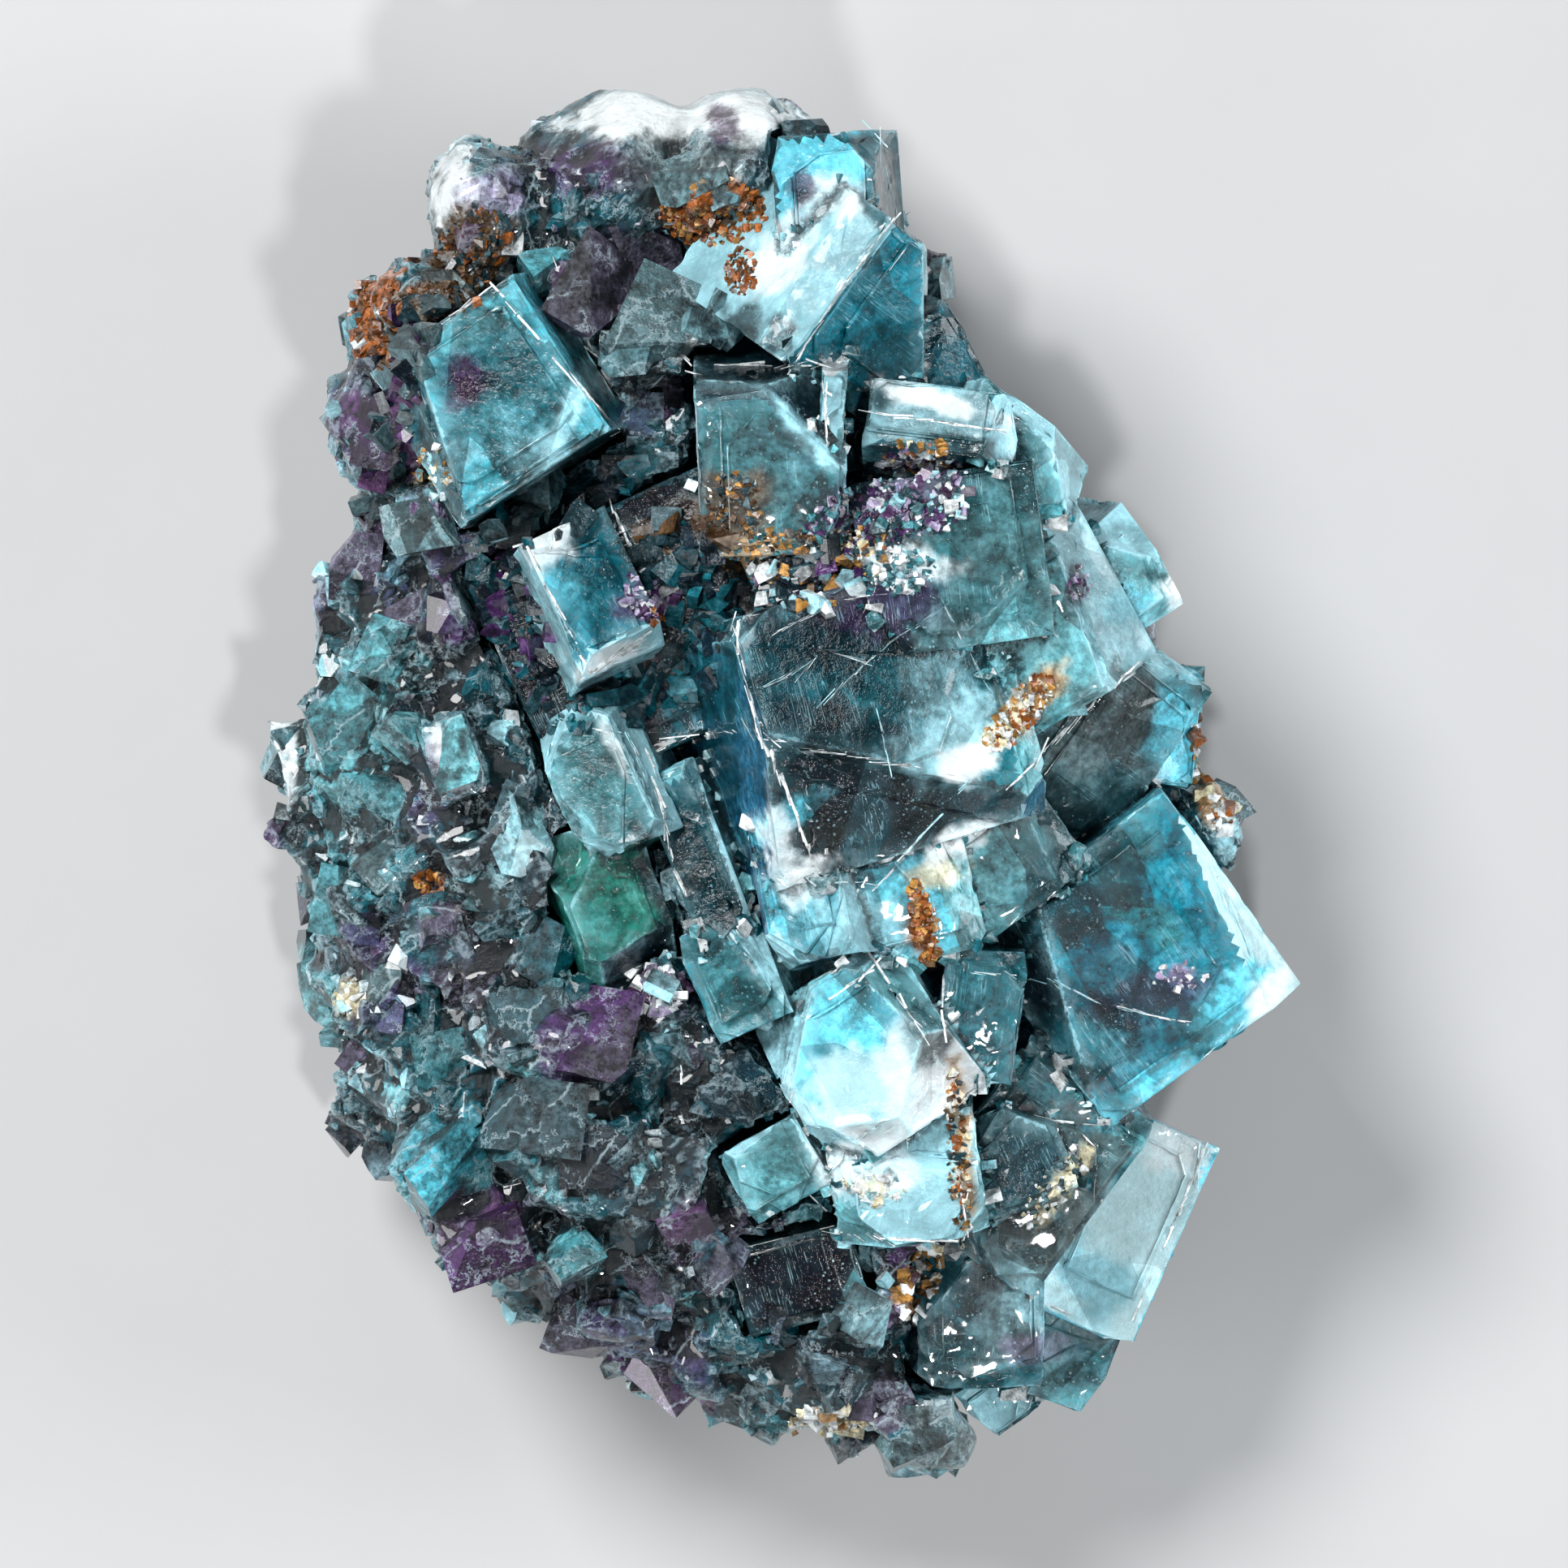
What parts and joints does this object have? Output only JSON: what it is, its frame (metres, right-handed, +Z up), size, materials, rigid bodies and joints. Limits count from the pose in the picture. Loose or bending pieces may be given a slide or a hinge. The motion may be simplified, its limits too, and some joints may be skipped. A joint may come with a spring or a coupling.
{
  "type": "fluorite crystal cluster",
  "caption": "Cluster of clear teal cubic crystals grown on a dark granular lump; a mineral specimen for display that rests on its flat broken back.",
  "frame": {"origin": "centre of the footprint, on the flat back that the specimen rests on", "axes": "+Z up out of the back towards the crystals, +Y along the long axis towards the narrow end with the pale dome, +X towards the big cube's side"},
  "size_m": [0.0594, 0.0794, 0.0337],
  "materials": {
    "granular_fluorite": "glassy granular mineral, dark teal, purple and grey with white rims and rusty specks",
    "teal_crystal": "clear to frosted teal crystal with glassy cleavage faces",
    "blue_crystal": "clear blue crystal with frosted edges and purple inclusions",
    "green_crystal": "clear sea-green crystal with worn edges",
    "pale_crystal": "pale clear crystal plate"
  },
  "bodies": {
    "root": {"granular_base": "granular_fluorite", "main_crystals": "teal_crystal", "upper_cube": "blue_crystal", "small_cube": "blue_crystal", "green_crystals": "green_crystal", "blade_crystal": "pale_crystal"}
  },
  "joints": []
}
